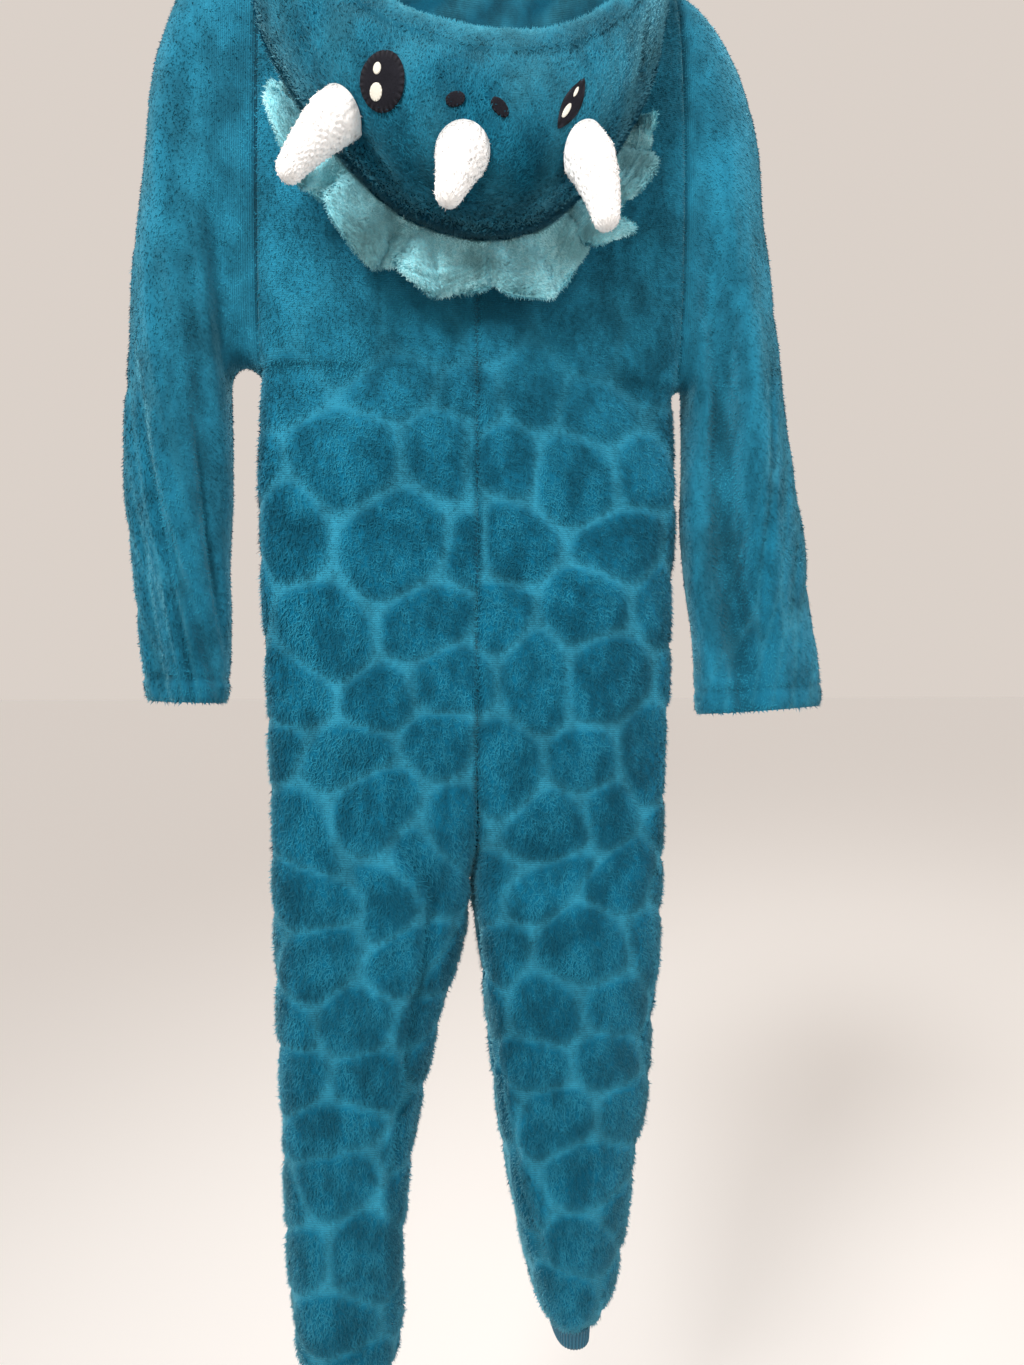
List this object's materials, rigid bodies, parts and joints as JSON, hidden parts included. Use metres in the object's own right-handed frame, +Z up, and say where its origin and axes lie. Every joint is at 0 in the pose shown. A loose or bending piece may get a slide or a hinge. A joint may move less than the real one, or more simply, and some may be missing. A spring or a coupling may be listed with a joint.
{
  "type": "hooded onesie on a hanger",
  "caption": "Child's hooded plush onesie on a plain hanger, its hood fallen down the back with felt eyes, stuffed horns and a gathered frill, with a front zip and rib ankle cuffs.",
  "frame": {"origin": "inside top of the hanger's hook, where the rod carries it", "axes": "+Z up, -Y towards the garment's back with the hood (the side in the picture), +Y towards its front with the zip, -X the wearer's left"},
  "size_m": [0.5389, 0.2316, 1.1821],
  "materials": {
    "plush": "short pile plush",
    "frill_plush": "short pile plush",
    "sherpa": "curly pile",
    "black_felt": "felt",
    "white_felt": "felt",
    "rib_knit": "rib knit",
    "zip_tape": "woven tape",
    "zip_metal": "satin",
    "hanger_plastic": "smooth",
    "hanger_steel": "polished"
  },
  "bodies": {
    "garment": {"back_left": "plush", "back_right": "plush", "front_left": "plush", "front_right": "plush", "leg_back_right": "plush", "leg_front_right": "plush", "sleeve_left": "plush", "sleeve_right": "plush", "leg_cuff_left": "rib_knit", "leg_cuff_right": "rib_knit", "hood_back": "plush", "hood_face": "plush", "hood_frill": "frill_plush", "horn_left": "sherpa", "horn_middle": "sherpa", "horn_right": "sherpa", "eye_left": "black_felt", "eye_right": "black_felt", "eye_shine_left_1": "white_felt", "eye_shine_left_2": "white_felt", "eye_shine_right_1": "white_felt", "eye_shine_right_2": "white_felt", "nostril_left": "black_felt", "nostril_right": "black_felt", "zip_strip": "zip_tape", "zip_slider": "zip_metal", "hanger_arms": "hanger_plastic", "hanger_hook": "hanger_steel"},
    "pull": {"zip_pull": "zip_metal"}
  },
  "joints": [
    {"name": "zip_pull_swing", "type": "hinge", "parent": "garment", "child": "pull", "pos_m": [0, 0.0463, -0.158], "axis": [1, 0, 0], "range_deg": [0, 150]}
  ]
}
